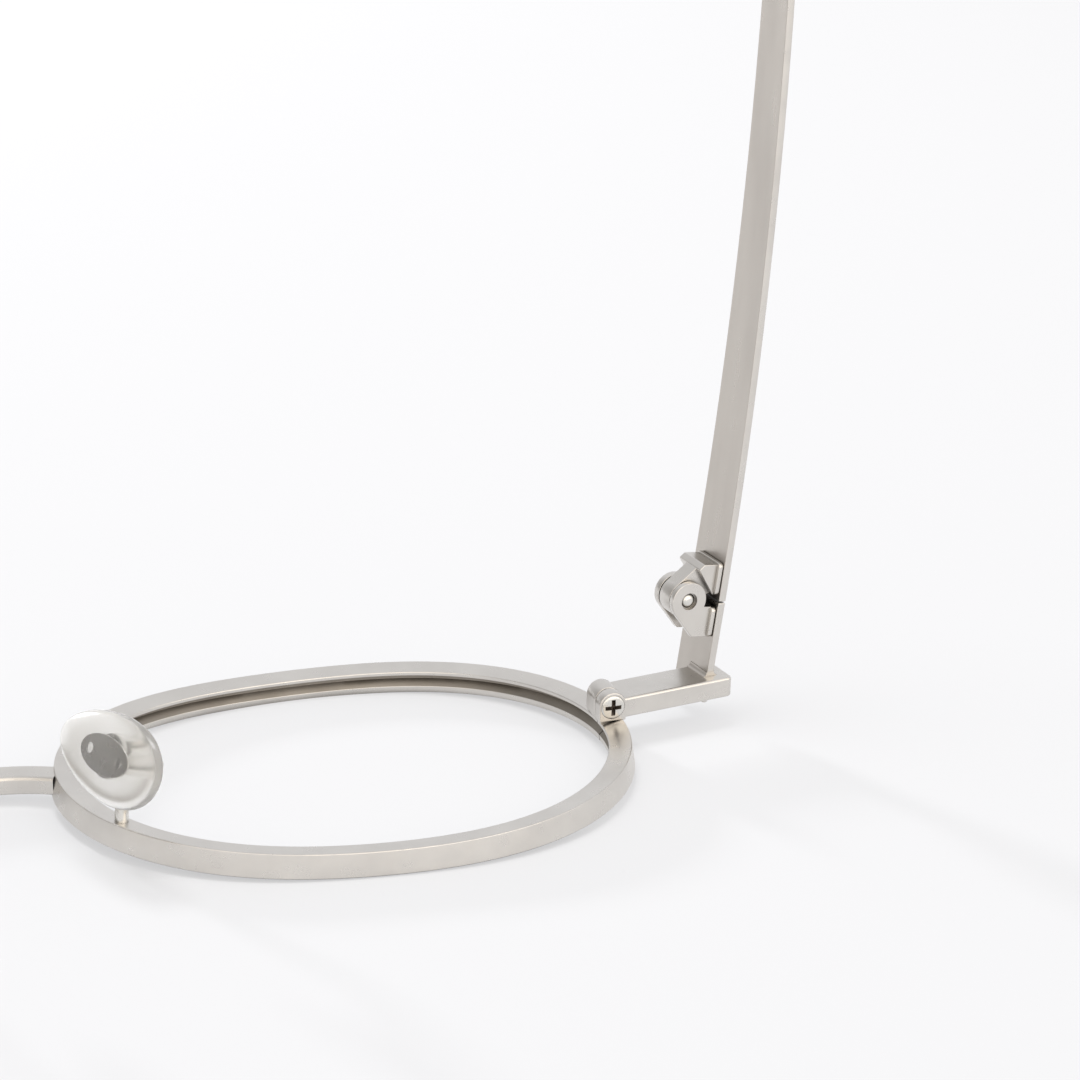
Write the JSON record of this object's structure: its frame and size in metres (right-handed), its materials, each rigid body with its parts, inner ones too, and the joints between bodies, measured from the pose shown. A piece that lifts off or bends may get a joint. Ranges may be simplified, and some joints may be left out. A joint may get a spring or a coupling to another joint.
{
  "type": "metal spectacle frame",
  "caption": "Metal spectacle frame with oval grooved rims, rim locks, upright hinged temples with ear tips, an arched bridge and rocking nose pads.",
  "frame": {"origin": "middle of the bounding box's footprint, on the surface that the rims' front faces lie on", "axes": "+X to the wearer's right, +Y to the brow side, +Z to the back of the spectacles, the way the open temples point"},
  "size_m": [0.1488, 0.043, 0.1474],
  "materials": {
    "satin_nickel": "satin nickel plate, bead-blasted",
    "brushed_strip": "satin, warm grey",
    "bright_steel": "polished screws, wires and plates",
    "tip_acetate": "dark brown cellulose acetate, soft gloss",
    "pad_silicone": "translucent silicone"
  },
  "bodies": {
    "front": {"bridge": "satin_nickel", "rim_right": "satin_nickel", "rim_lock_lower_right": "satin_nickel", "rim_lock_upper_right": "satin_nickel", "rim_lock_screw_right": "bright_steel", "end_piece_right": "satin_nickel", "hinge_leg_right": "brushed_strip", "front_hinge_leaf_right": "satin_nickel", "hinge_screw_right": "bright_steel", "pad_arm_right": "bright_steel", "pad_box_right": "bright_steel", "pad_screw_right": "bright_steel", "rim_left": "satin_nickel", "rim_lock_lower_left": "satin_nickel", "rim_lock_upper_left": "satin_nickel", "rim_lock_screw_left": "bright_steel", "end_piece_left": "satin_nickel", "hinge_leg_left": "brushed_strip", "front_hinge_leaf_left": "satin_nickel", "hinge_screw_left": "bright_steel", "pad_arm_left": "bright_steel", "pad_box_left": "bright_steel", "pad_screw_left": "bright_steel"},
    "temple_right": {"temple_right": "brushed_strip", "temple_hinge_leaf_right": "satin_nickel", "temple_tip_right": "tip_acetate"},
    "temple_left": {"temple_left": "brushed_strip", "temple_hinge_leaf_left": "satin_nickel", "temple_tip_left": "tip_acetate"},
    "nose_pad_right": {"nose_pad_right": "pad_silicone", "pad_plate_right": "bright_steel"},
    "nose_pad_left": {"nose_pad_left": "pad_silicone", "pad_plate_left": "bright_steel"}
  },
  "joints": [
    {"name": "temple_fold_right", "type": "hinge", "parent": "front", "child": "temple_right", "pos_m": [0.06565, 0.0001, 0.01223], "axis": [0, -1, 0], "range_deg": [0, 88]},
    {"name": "temple_fold_left", "type": "hinge", "parent": "front", "child": "temple_left", "pos_m": [-0.06565, 0.0001, 0.01223], "axis": [0, 1, 0], "range_deg": [0, 92]},
    {"name": "pad_rock_right", "type": "hinge", "parent": "front", "child": "nose_pad_right", "pos_m": [0.01083, -0.00601, 0.00969], "axis": [0.3947, 0.0984, 0.9135], "range_deg": [-8, 8]},
    {"name": "pad_rock_left", "type": "hinge", "parent": "front", "child": "nose_pad_left", "pos_m": [-0.01083, -0.00601, 0.00969], "axis": [-0.3947, 0.0984, 0.9135], "range_deg": [-8, 8]}
  ]
}
